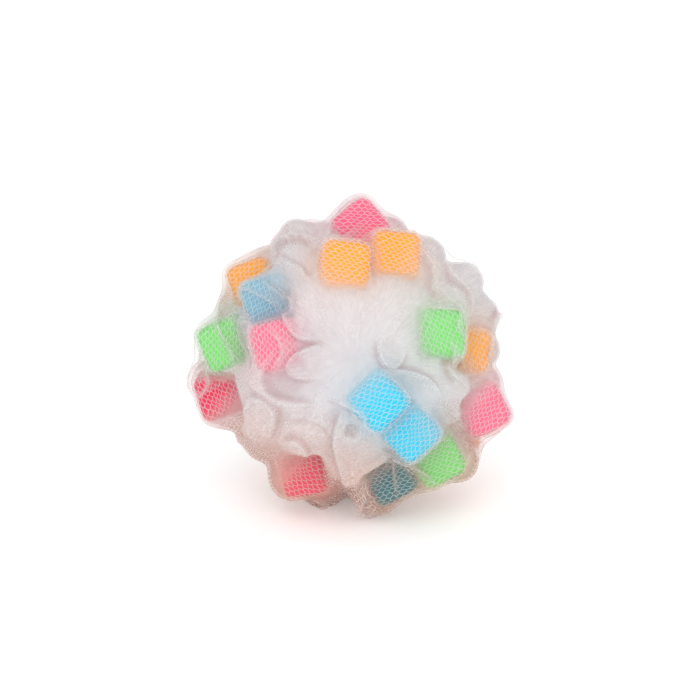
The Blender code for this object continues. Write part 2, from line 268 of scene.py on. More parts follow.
# %% [markdown]
# The sponge blocks decide where the netting bulges, so their places come first.
# The frame holds each as a mesh of loose triangles. A welded copy gives its
# middle, and its three largest pairs of faces give the directions of its sides.
# The drawn net then presses the soft foam in a little.

# %% The blocks, read from the frame
BLOCK_SIDE = 0.0190
BLOCK_ROUNDING = 0.0040
LEAN_TO_VIEW = 1.3         # how much the seen side is chosen for the front view


def welded_copy(name):
    """A CAD node's mesh with its loose triangles joined."""
    bm = bmesh.new()
    bm.from_mesh(frame["nodes"][name].data)
    bmesh.ops.remove_doubles(bm, verts=bm.verts, dist=0.000001)
    return bm


def block_axes(bm):
    """The block's middle and its three sides' directions, Z on the side that is seen."""
    middle = sum((vert.co for vert in bm.verts), Vector()) / len(bm.verts)
    sums = []
    for face in sorted(bm.faces, key=lambda f: -f.calc_area()):
        for total in sums:
            if abs(total.normalized().dot(face.normal)) > 0.98:
                total += face.normal * face.calc_area() * math.copysign(1, total.dot(face.normal))
                break
        else:
            if len(sums) < 3:
                sums.append(face.normal * face.calc_area())
    outward = (middle - CENTRE).normalized()
    look = outward + AXIS * LEAN_TO_VIEW if outward.dot(AXIS) > -0.05 else outward
    sums.sort(key=lambda total: abs(total.normalized().dot(look)))
    top = sums[2].normalized()
    top *= math.copysign(1, top.dot(look))
    side = (sums[0] - top * sums[0].dot(top)).normalized()
    return middle, Matrix((side, top.cross(side), top)).transposed()


SETTLE = 0.0010            # how far the net presses each block in
SETTLE_MORE = {"sponge_orange_left": 0.0028, "sponge_green_left": 0.0022,
               "sponge_pink_top": 0.0012}
blocks = {}
for name in sorted(frame["nodes"]):
    if name.startswith("sponge_"):
        solid = welded_copy(name)
        middle, axes = block_axes(solid)
        solid.free()
        inward = (CENTRE - middle).normalized()
        blocks[name] = (middle + inward * (SETTLE + SETTLE_MORE.get(name, 0.0)), axes)
print(len(blocks), "sponge blocks")

# %% [markdown]
# How a piece of netting looks depends on what lies behind it. These rows say
# how hazy the netting is over each block: at the middle of its seen side, and
# how much more towards one clock direction.

# %% Haze over each block
BLOCK_HAZE = {
    "sponge_pink_top": (0.05, 0.20, 180), "sponge_orange_top_left": (0.04, 0.20, 200),
    "sponge_orange_top_right": (0.03, 0.20, 130), "sponge_orange_left": (0.06, 0.40, 130),
    "sponge_blue_left": (0.25, 0.50, 60), "sponge_green_left": (0.04, 0.45, 90),
    "sponge_pink_left": (0.12, 0.45, 110), "sponge_rose_far_left": (0.0, 0.40, 130),
    "sponge_rose_bottom_left": (0.10, 0.65, 310), "sponge_cyan_front_upper": (0.04, 0.22, 330),
    "sponge_cyan_front_lower": (0.06, 0.20, 60), "sponge_teal_bottom": (0.08, 0.60, 320),
    "sponge_green_bottom_right": (0.08, 0.35, 320), "sponge_pink_right": (0.10, 0.55, 300),
    "sponge_orange_right": (0.10, 0.40, 220), "sponge_green_right": (0.06, 0.20, 270),
}
OTHER_BLOCK_HAZE = (0.12, 0.25, 0)
EDGE_SOFTNESS = 0.0038     # how far beyond a block its colour fades into the netting
EDGE_HAZE = 0.25           # more haze along a block's edges, where the net gathers


def smooth_step(value, low, high):
    share = np.clip((value - low) / (high - low), 0.0, 1.0)
    return share * share * (3 - 2 * share)


def distance_to_block(points, middle, axes, grow):
    """Signed distance to a block with rounded edges, grown by a little."""
    local = np.abs((points - np.array(middle)) @ np.array(axes))
    beyond = local - (BLOCK_SIDE / 2 - BLOCK_ROUNDING)
    outside = np.linalg.norm(np.maximum(beyond, 0.0), axis=1)
    inside = np.minimum(beyond.max(axis=1), 0.0)
    return outside + inside - BLOCK_ROUNDING - grow


def haze_over_blocks(points, haze, thread, lift):
    """Thin out the haze of a layer where it lies close to a block."""
    for name, (middle, axes) in blocks.items():
        centre_haze, more, clock = BLOCK_HAZE.get(name, OTHER_BLOCK_HAZE)
        away = distance_to_block(points, middle, axes, 0.0)
        over = smooth_step(away, lift + EDGE_SOFTNESS, lift + 0.0004)
        way = math.sin(math.radians(clock)) * THREE + math.cos(math.radians(clock)) * TWELVE
        toward = (points - np.array(middle)) @ np.array(way) / (BLOCK_SIDE / 2)
        local = (points - np.array(middle)) @ np.array(axes) / (BLOCK_SIDE / 2)
        across = (local[:, 0] ** 4 + local[:, 1] ** 4) ** 0.25
        here = centre_haze + more * smooth_step(toward, -0.3, 1.2)
        here = here + EDGE_HAZE * smooth_step(across, 0.82, 1.05)
        haze[:] = haze * (1 - over) + np.minimum(here, haze) * over
        thread[:] = thread * (1 - over)


# %% [markdown]
# A ruffle is a rounded lobe of netting. The rows give each one's clock and
# polar angle, its reach over the ball in millimetres, its share of the full
# breadth and its turn.

# %% Ruffles, as in the solid frame
RUFFLE_BREADTH = 0.0340
RUFFLE_DEPTH = 0.0210
SEEN_RUFFLES = [
    (3, 88, 1.5, 0.85, 90), (18, 86, -3.0, 0.70, 70), (36, 84, -3.5, 0.80, 60),
    (57, 84, 0.5, 0.75, 80), (72, 86, 0.5, 0.80, 95), (87, 92, -1.5, 0.70, 80),
    (101, 86, -0.5, 0.70, 60), (113, 91, 4.5, 0.80, 90), (134, 90, 6.5, 0.95, 85),
    (152, 95, -1.0, 0.70, 60), (170, 84, 2.2, 0.85, 90), (192, 92, -3.5, 0.65, 75),
    (207, 90, 0.0, 0.85, 90), (226, 88, -6.0, 0.80, 70), (246, 92, -2.0, 0.85, 80),
    (262, 92, 1.5, 0.90, 90), (278, 84, -1.5, 0.75, 80), (293, 84, -4.5, 0.80, 70),
    (306, 84, -4.0, 0.75, 80), (320, 84, -6.5, 0.75, 60), (336, 86, -2.0, 0.85, 90),
    (173, 55, -2.0, 1.00, 0), (212, 44, -4.0, 0.90, 60), (235, 56, -3.0, 0.95, 110),
    (255, 40, -2.5, 0.80, 20), (268, 20, -2.0, 0.70, 100), (205, 16, -3.0, 0.80, 40),
    (325, 30, -4.0, 0.90, 40), (330, 62, -3.5, 0.95, 80), (309, 55, -6.0, 0.85, 30),
    (0, 22, -4.0, 0.90, 90), (38, 32, -4.0, 0.95, 130), (42, 60, -3.5, 0.95, 60),
    (62, 62, -3.0, 0.90, 100), (80, 24, -4.5, 0.85, 10), (101, 48, -3.5, 0.95, 70),
    (115, 34, -2.5, 0.85, 150), (180, 30, -3.0, 0.80, 30), (112, 58, -3.0, 0.80, 40),
    (300, 10, -6.0, 0.70, 60),
]
FAR_RINGS = [(112, 13, -1.5, 12), (137, 9, -1.0, 30), (161, 5, -0.5, 0)]
FAR_BREADTH = 0.95
FAR_TURN = 55.0
FOOT_RUFFLES = [
    (168, 103, 2.5), (193, 104, 2.5), (180, 124, 2.5), (158, 122, 2.0), (202, 123, 2.0),
]
FOOT_BREADTH = 0.85


def ruffle_plan():
    plan = list(SEEN_RUFFLES)
    for polar, count, reach, start in FAR_RINGS:
        for number in range(count):
            plan.append((start + number * 360 / count, polar, reach, FAR_BREADTH,
                         number * FAR_TURN))
    for number, (clock, polar, reach) in enumerate(FOOT_RUFFLES):
        plan.append((clock, polar, reach, FOOT_BREADTH, number * FAR_TURN))
    return plan


# %% [markdown]
# Layers of netting lie over everything like a stocking: over the lobes of the
# packed ruffles, and tight over each block. To shape a layer, a ray goes in
# from outside until it meets a lobe, the ball or a block. A soft least of the
# distances rounds the corners between them, as stretched cloth does. Netting
# in front of a block is drawn aside first. Cloth simulation could do this too,
# but a layer with hundreds of folds would take far too long to settle.

# %% Lobes, blocks and openings as distances
START_RADIUS = 0.080
MARCH_STEPS = 30
STEP_SHARE = 0.85          # of the gap that one step takes
LEAST_RADIUS = 0.020
LOBE_HEIGHT = 0.0170
LOBE_CORNER = 0.0035
NEAR_LOBE = 0.80           # cosine of the angle within which a ray can meet a lobe
NEAR_BLOCK = 0.62          # and a block
OPENING_LENGTH = 0.030
OPENING_MARGIN = 0.0005


def lobe_shapes():
    lobes = []
    for clock, polar, reach, breadth_share, turn in ruffle_plan():
        outward = on_the_ball(clock, polar)
        axes = facing(outward, turn)
        sizes = np.array((RUFFLE_BREADTH * breadth_share / 2, RUFFLE_DEPTH / 2, LOBE_HEIGHT))
        middle = CENTRE + outward * (BALL_RADIUS + reach * MM - LOBE_HEIGHT)
        lobes.append((np.array(outward), np.array(middle), np.array(axes), sizes))
    return lobes


def distance_to_lobe(points, middle, axes, sizes):
    local = (points - middle) @ axes
    once = np.linalg.norm(local / sizes, axis=1)
    twice = np.linalg.norm(local / sizes ** 2, axis=1)
    return once * (once - 1.0) / np.maximum(twice, 1e-6)


def openings():
    """A box in front of each block, towards the side from which it is seen."""
    found = []
    for name, (middle, axes) in blocks.items():
        seen_from = AXIS if name in BLOCK_HAZE else (middle - CENTRE).normalized()
        slopes = [seen_from.dot(axes.col[i]) for i in range(3)]
        side = max(range(3), key=lambda i: abs(slopes[i]))
        shifted = middle + axes.col[side] * math.copysign(OPENING_LENGTH, slopes[side])
        half = np.full(3, BLOCK_SIDE / 2 + OPENING_MARGIN)
        half[side] += OPENING_LENGTH
        found.append((np.array(shifted), np.array(axes), half))
    return found


def distance_to_opening(points, middle, axes, half):
    beyond = np.abs((points - middle) @ axes) - (half - BLOCK_ROUNDING)
    outside = np.linalg.norm(np.maximum(beyond, 0.0), axis=1)
    return outside + np.minimum(beyond.max(axis=1), 0.0) - BLOCK_ROUNDING


def soft_least(first, second, blend):
    near = np.maximum(blend - np.abs(first - second), 0.0) / blend
    return np.minimum(first, second) - near * near * blend / 4


def soft_most(first, second, blend):
    return -soft_least(-first, -second, blend)


LOBES = lobe_shapes()
OPENINGS = openings()
print(len(LOBES), "lobes and", len(OPENINGS), "openings")


def drawn_radius(ways, ball, added, lift, hug, corner):
    """How far out a layer lies along each direction."""
    centre = np.array(CENTRE)
    reach = np.full(len(ways), START_RADIUS)
    near_lobe = [np.nonzero(ways @ outward > NEAR_LOBE)[0] for outward, *_ in LOBES]
    near_block = [np.nonzero(ways @ np.array((middle - CENTRE).normalized()) > NEAR_BLOCK)[0]
                  for middle, _ in blocks.values()]
    for _ in range(MARCH_STEPS):
        points = centre + ways * reach[:, None]
        gap = reach - ball
        for near, (_, *lobe) in zip(near_lobe, LOBES):
            gap[near] = soft_least(gap[near], distance_to_lobe(points[near], *lobe), LOBE_CORNER)
        gap -= lift + added
        for opening in OPENINGS:
            gap = soft_most(gap, -distance_to_opening(points, *opening), LOBE_CORNER)
        for near, (middle, axes) in zip(near_block, blocks.values()):
            to_block = distance_to_block(points[near], middle, axes, hug)
            gap[near] = soft_least(gap[near], to_block, corner)
        reach = np.maximum(reach - STEP_SHARE * gap, LEAST_RADIUS)
    return reach


# %% [markdown]
# Where a ruffle turns over, its edge lies on its neighbour like a petal: it rises gently on its
# own side and drops sharply on the other. A painted light lies along its crest and a painted shade
# on what it covers, and the dips get painted shade too. The front's edges follow a few points, in
# millimetres right of and above the gather, and the sharp side lies to the right of the way they
# run.
# The rest of the ball gets edges at even places and with seeded headings.

# %% Petal edges and dips
DIPS = [                   # right, up, radius and depth, in mm
    (-27.5, -11.0, 6.0, 3.0), (0.8, -29.2, 3.0, 2.5), (25.5, -12.0, 6.5, 3.0),
    (-19.0, -3.4, 2.6, 1.5), (17.5, 2.5, 4.0, 1.2), (-37.6, -25.0, 6.0, 1.5),
]
FRONT_EDGES = [            # height in mm, sharpness of the far side, and points
    (1.9, 0.9, [(-13, -20.4), (-20, -19.6), (-26.4, -19.2), (-31.5, -17.4), (-34.6, -13.2),
                (-34.8, -7.6), (-32, -1.2), (-28.8, 3.6)]),
    (1.8, 0.7, [(-8, 4.4), (-13, 4.6), (-18, 3.0), (-23.2, 0.4), (-25.2, -3.6),
                (-23.4, -7.6), (-18.4, -8.8), (-12, -8.2)]),
    (1.6, 0.8, [(38.4, -23.2), (37.2, -17.4), (35.2, -12.8), (31.2, -8.4), (25, -6),
                (17.8, -5.2), (10.8, -4.6)]),
    (1.0, 0.8, [(4.2, -29.2), (3.0, -32.2), (0.6, -33.0), (-2.0, -31.6), (-2.8, -29.0),
                (-1.4, -26.2), (1.2, -25.6), (3.6, -27.0), (4.2, -29.4)]),
    (1.3, 0.8, [(13.2, 9.6), (12.4, 2.8), (14.2, -2.6), (18.4, -4.4), (21.8, -1.6),
                (22.8, 4.6)]),
    (1.8, 0.9, [(-36, -39), (-33.6, -31.2), (-33, -23.4), (-35.2, -18), (-40, -16.8),
                (-44, -21.4), (-45, -29)]),
    (1.9, 1.0, [(-2, -20), (-5.2, -27), (-6.6, -35), (-5.6, -43), (-2.4, -51), (0, -56)]),
    (1.2, 0.8, [(-28, 20), (-26, 14), (-22.6, 9), (-18, 7.2), (-12, 7.4)]),
    (1.5, 0.8, [(-21.4, 21.2), (-27, 26), (-33, 30), (-38, 34)]),
    (1.6, 0.9, [(-18, 33), (-21, 38), (-26, 40.6), (-31, 42)]),
    (1.6, 0.9, [(26, 44), (31, 40), (34.8, 35.6), (37, 29.6), (42, 26.6)]),
    (1.3, 0.8, [(40.4, 27), (43, 19), (42, 12), (46, 6)]),
    (1.4, 0.8, [(40, 8), (42, 0.4), (41, -6), (45, -11.4)]),
    (1.5, 0.8, [(-19, -49), (-17.6, -42), (-19.4, -36.6), (-24, -34), (-29, -37)]),
    (1.3, 0.8, [(-30, -24), (-24, -26), (-18, -25.4), (-11, -28), (-8, -34)]),
    (1.2, 0.8, [(-10, -16), (-4, -18), (4, -22), (6, -28)]),
    (1.4, 0.8, [(-44, 5), (-39, 3.4), (-37, -2), (-39.6, -7)]),
    (0.35, 3.0, [(-4, 6), (-9, 14), (-12, 22), (-19, 30)]),
    (0.35, 3.0, [(3, 5), (4, 13), (9, 20), (15, 24)]),
    (0.35, 3.0, [(8, 3), (16, 8), (22, 15), (25, 24)]),
    (0.45, 2.6, [(-9, -2), (-15, 8), (-20, 12), (-19, 20)]),
    (0.45, 2.6, [(-6, -8), (-13, -14), (-16, -24), (-22, -30)]),
    (0.45, 2.6, [(28, -3), (32, 2), (30, 10), (34, 20)]),
    (1.6, 0.7, [(-34, 42), (-29, 46.6), (-23, 50), (-17, 52.4)]),
    (0.9, 0.9, [(-39, 36), (-33, 31.4), (-28, 27), (-22.6, 23.6), (-18, 18)]),
    (0.9, 0.9, [(-51, 26), (-45, 28), (-38, 26), (-32, 21)]),
    (1.0, 0.9, [(-49, 14), (-44, 14.6), (-40, 12.6), (-38.6, 6.8), (-40, 0)]),
    (1.0, 0.9, [(-33, 12), (-29, 7), (-28, 1), (-31, -4)]),
    (1.2, 0.7, [(-20, -46), (-17, -41), (-12, -42), (-11, -49)]),
]
OTHER_EDGES = 60
EDGE_SEED = 11
EDGE_STEP = 0.026          # one step of a wandering edge, as a share of the radius
EDGE_SLOPE = 3.5           # mm: the width of an edge's gentle side
HOLLOW = (0.45, 2.2, 1.5)  # beyond the sharp side: share of the height, place and width, mm
# Painted into the netting's colour: light on an edge's crest, the shade beyond its sharp side, and
# the shade in a dip.
EDGE_LIGHT = (0.7, -0.3, 0.6)  # strength, place and width in mm of the light on an edge
EDGE_DARK = (0.75, 1.1, 1.2)   # and of the shade that it throws
FULL_SHADE = 1.3           # mm: a lower edge shades less
DIP_SHADE = 0.05           # for each millimetre of depth
ADDED_LIMITS = (-7.0, 4.0)     # mm


def smooth_path(points, steps):
    """Points along a smooth curve through the given ones."""
    spans = len(points) - 1
    path = []
    for step in range(steps + 1):
        first = min(int(step / steps * spans), spans - 1)
        t = step / steps * spans - first
        a, b, c, d = (Vector(points[max(0, min(spans, first + i))]) for i in (-1, 0, 1, 2))
        path.append(0.5 * (2 * b + (c - a) * t + (2 * a - 5 * b + 4 * c - d) * t ** 2
                           + (3 * b - a - 3 * c + d) * t ** 3))
    return path


def wandering_edge(number, dice):
    """An edge that starts at an even place of the ball and bends as it goes."""
    height = 1 - 2 * (number + 0.5) / OTHER_EDGES
    clock = math.degrees(number * 2.39996)
    way = on_the_ball(clock, math.degrees(math.acos(height)))
    heading = facing(way, dice.uniform(0, 360)).col[0]
    bend = dice.uniform(-1, 1) * 0.10
    path = [way]
    for _ in range(dice.randint(14, 24)):
        step = way + heading * EDGE_STEP
        turned = heading + way.cross(heading) * bend
        way = step.normalized()
        heading = (turned - way * turned.dot(way)).normalized()
        bend += dice.uniform(-1, 1) * 0.05
        path.append(way)
    return path


def all_edges():
    edges = []
    for height, sharp, points in FRONT_EDGES:
        path = [seen_at(*place) for place in smooth_path(points, len(points) * 5)]
        edges.append((height, sharp, path))
    dice = random.Random(EDGE_SEED)
    for number in range(OTHER_EDGES):
        path = wandering_edge(number, dice)
        if path[len(path) // 2].dot(AXIS) < 0.55:
            edges.append((dice.uniform(1.2, 2.4), dice.uniform(0.8, 1.2), path))
    return edges


EDGES = all_edges()
print(len(EDGES), "petal edges")


def hump(far, place, width):
    """1 at a place, falling to nothing on both sides."""
    return np.exp(-((far - place) / width) ** 2)


def edges_and_dips(ways):
    """What the edges and dips add to the radius, and the painted light and shade that they put
    into the netting's colour.
    """
    added, shade = np.zeros(len(ways)), np.zeros(len(ways))
    flat = np.stack((ways @ np.array(THREE), ways @ np.array(TWELVE)), axis=1) * BALL_RADIUS / MM
    front = smooth_step(ways @ np.array(AXIS), 0.05, 0.35)
    for right, up, size, depth in DIPS:
        away = np.linalg.norm(flat - (right, up), axis=1) / size
        added -= depth * np.exp(-away ** 4) * front
        shade -= DIP_SHADE * depth * np.exp(-away ** 4) * front
    for height, sharp, path in EDGES:
        points = np.array(path)
        middle = points[len(points) // 2]
        near = np.nonzero(ways @ (middle / np.linalg.norm(middle)) > 0.70)[0]
        closest = np.argmax(ways[near] @ points.T, axis=1)
        along = np.gradient(points, axis=0)
        along /= np.linalg.norm(along, axis=1)[:, None]
        aside = np.cross(along, points)
        apart = ways[near] - points[closest]
        far = (apart * aside[closest]).sum(axis=1) * BALL_RADIUS / MM
        ends = np.minimum(closest, len(points) - 1 - closest) / (0.22 * len(points))
        strength = smooth_step(ends, 0.0, 1.0)
        gentle = hump(far, 0.0, EDGE_SLOPE)
        steep = hump(far, 0.0, sharp) - HOLLOW[0] * hump(far, *HOLLOW[1:])
        added[near] += height * strength * np.where(far < 0, gentle, steep)
        # Painted light on the crest, and painted shade beyond the sharp side.
        light = EDGE_LIGHT[0] * hump(far, *EDGE_LIGHT[1:])
        dark = EDGE_DARK[0] * np.where(far > 0, hump(far, *EDGE_DARK[1:]), 0.0)
        shade[near] += strength * min(1.0, (height / FULL_SHADE) ** 2) * (light - dark)
    return np.clip(added, *ADDED_LIMITS) * MM, np.clip(shade, -1.5, 1.0)


SWELLING = 0.0022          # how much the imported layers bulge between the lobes
FOLDS_ROUND = 14           # shallow folds round the gather
FRONT_FULLNESS = 0.0025    # the front is packed fuller than the rim and the back


def swell(way, base):
    """The radius of a layer between the lobes and blocks."""
    polar = math.acos(max(-1.0, min(1.0, way.dot(AXIS))))
    clock = math.atan2(way.dot(THREE), way.dot(TWELVE))
    wobble = noise.noise(way * 2.7)
    folds = math.sin(clock * FOLDS_ROUND + 5 * wobble + 2 * polar) * math.sin(polar)
    puffs = noise.noise(way * 4.5) + 0.16 * noise.noise(way * 12) + 0.05 * noise.noise(way * 27)
    radius = base + SWELLING * (puffs + 0.30 * folds)
    full = max(0.0, min(1.0, (way.dot(AXIS) - 0.45) / 0.4))
    return radius + FRONT_FULLNESS * full * full * (3 - 2 * full)


# %% [markdown]
# Netting is white. Its colour here has painted light and shade in it: painted bounce light from
# the sponge blocks beside it, a painted warm cast from the floor under it, painted shade between
# its folds and in its dips, and painted light along its edges.

# %% The netting's colour, with painted light and shade, from place to place
NETTING_WHITE = "#F8F6F7"
# Painted shade, for the folds and the dips.
NETTING_SHADE = "#E0CDCE"
# A painted warm cast, for the netting that faces down.
NETTING_WARM = "#FFC8A8"
SPONGE_COLOURS = {
    "pink": "#F86890", "rose": "#E83A60", "orange": "#FFAA24", "peach": "#F4AC80",
    "green": "#7FDB72", "cyan": "#10CCEA", "blue": "#36B6D4", "teal": "#1F7C86",
}
BLOCK_FINISH = {entry["node"]: entry["material_slot"] for entry in frame["record"]["subparts"]}
# Painted bounce light: the netting beside a block takes on some of its colour, as light from the
# block would give it.
BLOCK_BOUNCE_LIGHT = 0.09               # how much of a block's colour the netting beside it takes
BLOCK_BOUNCE_REACH = 0.0065


def painted_warm_cast(way):
    """Painted warm cast: the netting that faces down is drawn warmer, most of all round its rim.
    """
    down = -way.dot(TWELVE)
    rim = 1.0 - 0.75 * max(0.0, way.dot(AXIS))
    return max(0.0, min(0.75, (down - 0.30) * 1.3 * rim + 0.15 * max(0.0, way.x) * down))


def colour_with_painted_light(points, warm, shade):
    """Linear colours for many places of the netting, with painted light and shade in them."""
    white, dark, warm_tone = (np.array(hex_colour(code)[:3])
                              for code in (NETTING_WHITE, NETTING_SHADE, NETTING_WARM))
    colours = np.tile(white, (len(points), 1))
    # Painted warm cast.
    colours += (warm_tone - colours) * warm[:, None]
    # Painted shade darkens where the shade value is below zero, and painted light lightens where
    # it is above.
    colours *= 1 - (1 - dark / white) * np.maximum(-shade, 0.0)[:, None]
    colours += (1 - colours) * (0.5 * np.maximum(shade, 0.0))[:, None]
    # Painted bounce light from each block.
    for name, (middle, axes) in blocks.items():
        away = distance_to_block(points, middle, axes, 0.0)
        share = BLOCK_BOUNCE_LIGHT * np.exp(-np.maximum(away, 0.0) / BLOCK_BOUNCE_REACH)
        colours += (np.array(hex_colour(SPONGE_COLOURS[BLOCK_FINISH[name]])[:3]) - colours) \
            * share[:, None]
    return np.clip(colours, 0.0, 1.0)


def flat_place(way, front):
    """Millimetres on a flat sheet laid on the front or the back of the ball."""
    pole = AXIS if front else -AXIS
    polar = math.acos(max(-1.0, min(1.0, way.dot(pole))))
    right, up = way.dot(THREE), way.dot(TWELVE)
    size = math.hypot(right, up) or 1.0
    return polar * BALL_RADIUS / MM * right / size, polar * BALL_RADIUS / MM * up / size


# %% [markdown]
# Each piece of netting starts as an empty bmesh with its layers. A helper
# makes the object and keeps the area for the record of sheets.

# %% Start and finish a piece of netting
sheets = []


def new_netting():
    bm = bmesh.new()
    bm.loops.layers.uv.new("flat_mm")
    for layer in ("haze", "thread"):
        bm.verts.layers.float.new(layer)
    bm.verts.layers.float_color.new("colour_with_painted_light")
    return bm


def finish_netting(name, bm):
    area = sum(face.calc_area() for face in bm.faces)
    mesh = bpy.data.meshes.new(name)
    bm.to_mesh(mesh)
    bm.free()
    mesh.shade_smooth()
    mesh.materials.append(netting)
    obj = bpy.data.objects.new(name, mesh)
    bpy.context.scene.collection.objects.link(obj)
    sheets.append((obj, area))
    print(name, len(mesh.polygons), "faces", round(area, 4), "square metres")
    return obj


def set_layers(bm, verts, haze, thread, colours):
    haze_key, thread_key = (bm.verts.layers.float[name] for name in ("haze", "thread"))
    painted_colour_key = bm.verts.layers.float_color["colour_with_painted_light"]
    for vert, cover, cells, colour in zip(verts, haze, thread, colours):
        vert[haze_key] = float(cover)
        vert[thread_key] = float(cells)
        vert[painted_colour_key] = (*colour, 1.0)


RIM_WIDTH = 0.32           # of the radius: where a layer is seen from its side
RIM_CALM = 0.80            # how much lower the edges are there
RIM_HAZE = 0.35            # and how much hazier the layer looks
EDGE_LIGHT_HAZE = 0.45
THREAD_WHERE_WARM = 1.1
THREAD_OFF_MIDDLE = 0.05
THREAD_AT_LEFT = 0.22


def drawn_netting(name, front, base, lift, hug, corner, haze_level, fineness):
    """Half of a layer that is drawn over the whole ball."""
    bm = new_netting()
    bmesh.ops.create_icosphere(bm, subdivisions=fineness, radius=1.0)
    pole = AXIS if front else -AXIS
    away = [face for face in bm.faces if face.calc_center_median().dot(pole) < -0.02]
    bmesh.ops.delete(bm, geom=away, context="FACES")
    verts = list(bm.verts)
    ways = [vert.co.normalized() for vert in verts]
    directions = np.array(ways)
    ball = np.array([swell(way, base) for way in ways])
    added, shade = edges_and_dips(directions)
    added *= 1 - RIM_CALM * hump(directions @ np.array(AXIS), 0.0, RIM_WIDTH)
    reach = drawn_radius(directions, ball, added, lift, hug, corner)
    uv = bm.loops.layers.uv["flat_mm"]
    flat = {vert: flat_place(way, front) for vert, way in zip(verts, ways)}
    for face in bm.faces:
        for loop in face.loops:
            loop[uv].uv = flat[loop.vert]
    for vert, way, far in zip(verts, ways, reach):
        vert.co = CENTRE + way * float(far)
        vert.co.z = max(vert.co.z, FLOOR_GAP + lift)
    points = np.array([vert.co for vert in verts])
    warm = np.array([painted_warm_cast(way) for way in ways])
    rim = hump(directions @ np.array(pole), 0.0, RIM_WIDTH)
    haze = haze_level + (1 - haze_level) * RIM_HAZE * rim
    off_middle = smooth_step(1 - directions @ np.array(AXIS), 0.25, 0.8)
    left = smooth_step(-directions @ np.array(THREE), 0.35, 0.85)
    thread = THREAD_WHERE_WARM * warm + THREAD_OFF_MIDDLE * off_middle + THREAD_AT_LEFT * left
    haze_over_blocks(points, haze, thread, hug)
    haze = haze + EDGE_LIGHT_HAZE * np.maximum(shade, 0.0) * (1 - haze)
    set_layers(bm, verts, haze, thread, colour_with_painted_light(points, warm, shade))
    return finish_netting(name, bm)


BACK_FINENESS = 7
LAYERS = [                 # name, base radius, lift, hug, corner, haze, fineness
    ("drawn", 0.0515, -0.0004, 0.0007, 0.0045, 0.76, 8),
    ("film", 0.0525, 0.0004, 0.0016, 0.0070, 0.24, 7),
]
for layer_name, *shape, fineness in LAYERS:
    for side, front in (("front", True), ("back", False)):
        drawn_netting(f"netting_{layer_name}_{side}", front, *shape,
                      fineness if front else BACK_FINENESS)

# %% [markdown]
# Along each petal edge the netting is doubled, so it shows as a light band: soft on its own side,
# and crisp where it bends down over its neighbour. Its colour is lightened with painted light as
# well. A band could be painted into the layer below, but only a strip of its own has an edge that
# is finer than that layer's mesh.

# %% Bands along the petal edges
BAND_ACROSS = [            # mm beside the edge, mm above the layer, and haze
    (-3.6, -0.30, 0.00), (-2.6, -0.12, 0.06), (-1.7, 0.02, 0.17), (-0.8, 0.12, 0.30),
    (-0.1, 0.14, 0.40), (0.35, -0.05, 0.40), (0.60, -0.70, 0.20),
]
BAND_STEP = 0.8            # mm along a band from one row of its mesh to the next
BAND_HALF = 1.7            # mm across it, laid flat
BAND_FADE = 0.3            # share of its length over which each end fades
BAND_DROOP = 0.12          # how far its sides lie lower, for each mm of height and width
BAND_THREAD = 0.15
BAND_WARMTH = 0.7
EVEN_STEPS = 5             # a band's course is evened out over so many steps each way


def edge_bands(name, edges, seed):
    """One strip for each edge, laid on the film."""
    ways = np.array([way for _, _, path in edges for way in path])
    ball = np.array([swell(Vector(way), LAYERS[1][1]) for way in ways])
    added, _ = edges_and_dips(ways)
    reach = drawn_radius(ways, ball, added, *LAYERS[1][2:5])
    spread = hump(np.arange(-EVEN_STEPS, EVEN_STEPS + 1), 0.0, EVEN_STEPS / 2)
    bm = new_netting()
    uv = bm.loops.layers.uv["flat_mm"]
    start = 0
    for number, (height, _, path) in enumerate(edges):
        steps, across = len(path) - 1, len(BAND_ACROSS) - 1
        even = np.pad(reach[start:start + len(path)], EVEN_STEPS, mode="edge")
        even = np.convolve(even, spread / spread.sum(), mode="valid")
        grid = bmesh.ops.create_grid(bm, x_segments=steps, y_segments=across, size=1.0)
        flat = {vert: tuple(vert.co) for vert in grid["verts"]}
        strip = list({face for vert in grid["verts"] for face in vert.link_faces})
        bmesh.ops.reverse_faces(bm, faces=strip)
        for face in strip:
            for loop in face.loops:
                along, beside, _ = flat[loop.vert]
                loop[uv].uv = (along * steps * BAND_STEP + number * 31.7 + seed,
                               beside * BAND_HALF)
        haze, thread, points = [], [], []
        for vert, (along, beside, _) in flat.items():
            place = round((along + 1) / 2 * steps)
            aside_mm, above, cover = BAND_ACROSS[round((beside + 1) / 2 * across)]
            way = path[place]
            heading = path[min(steps, place + 1)] - path[max(0, place - 1)]
            aside = heading.cross(way).normalized()
            radius = float(even[place]) + (above - BAND_DROOP * height * abs(aside_mm)) * MM
            vert.co = CENTRE + way * radius + aside * aside_mm * MM
            vert.co.z = max(vert.co.z, FLOOR_GAP)
            fade = min(1.0, min(place, steps - place) / (BAND_FADE * steps))
            haze.append(min(1.0, height) * cover * fade * fade * (3 - 2 * fade))
            thread.append(BAND_THREAD * fade)
            points.append(tuple(vert.co))
        # A painted warm cast, and painted light over the whole band: a shade of 0.5 lightens its
        # colour.
        warm = np.array([BAND_WARMTH * painted_warm_cast((vert.co - CENTRE).normalized())
                         for vert in flat])
        colours = colour_with_painted_light(np.array(points), warm, np.full(len(points), 0.5))
        set_layers(bm, list(flat), haze, thread, colours)
        start += len(path)
    return finish_netting(name, bm)


edge_bands("netting_bands_front", EDGES[:len(FRONT_EDGES)], 3)
edge_bands("netting_bands_around", EDGES[len(FRONT_EDGES):], 7)

# %% [markdown]
# Deep inside, the layers are packed so close that nothing shows between them.
# That bundle is one closed shape, creamy white, that follows the drawn layers a
# little lower down. It stands for the CAD solid of the netting.

# %% Packed netting inside
CORE_DEPTH = 0.0055        # below the layers that are drawn over it
CORE_RADIUS = 0.0525
CORE_CORNER = 0.004
CORE_FLOOR = 0.004         # its lowest points, above the floor


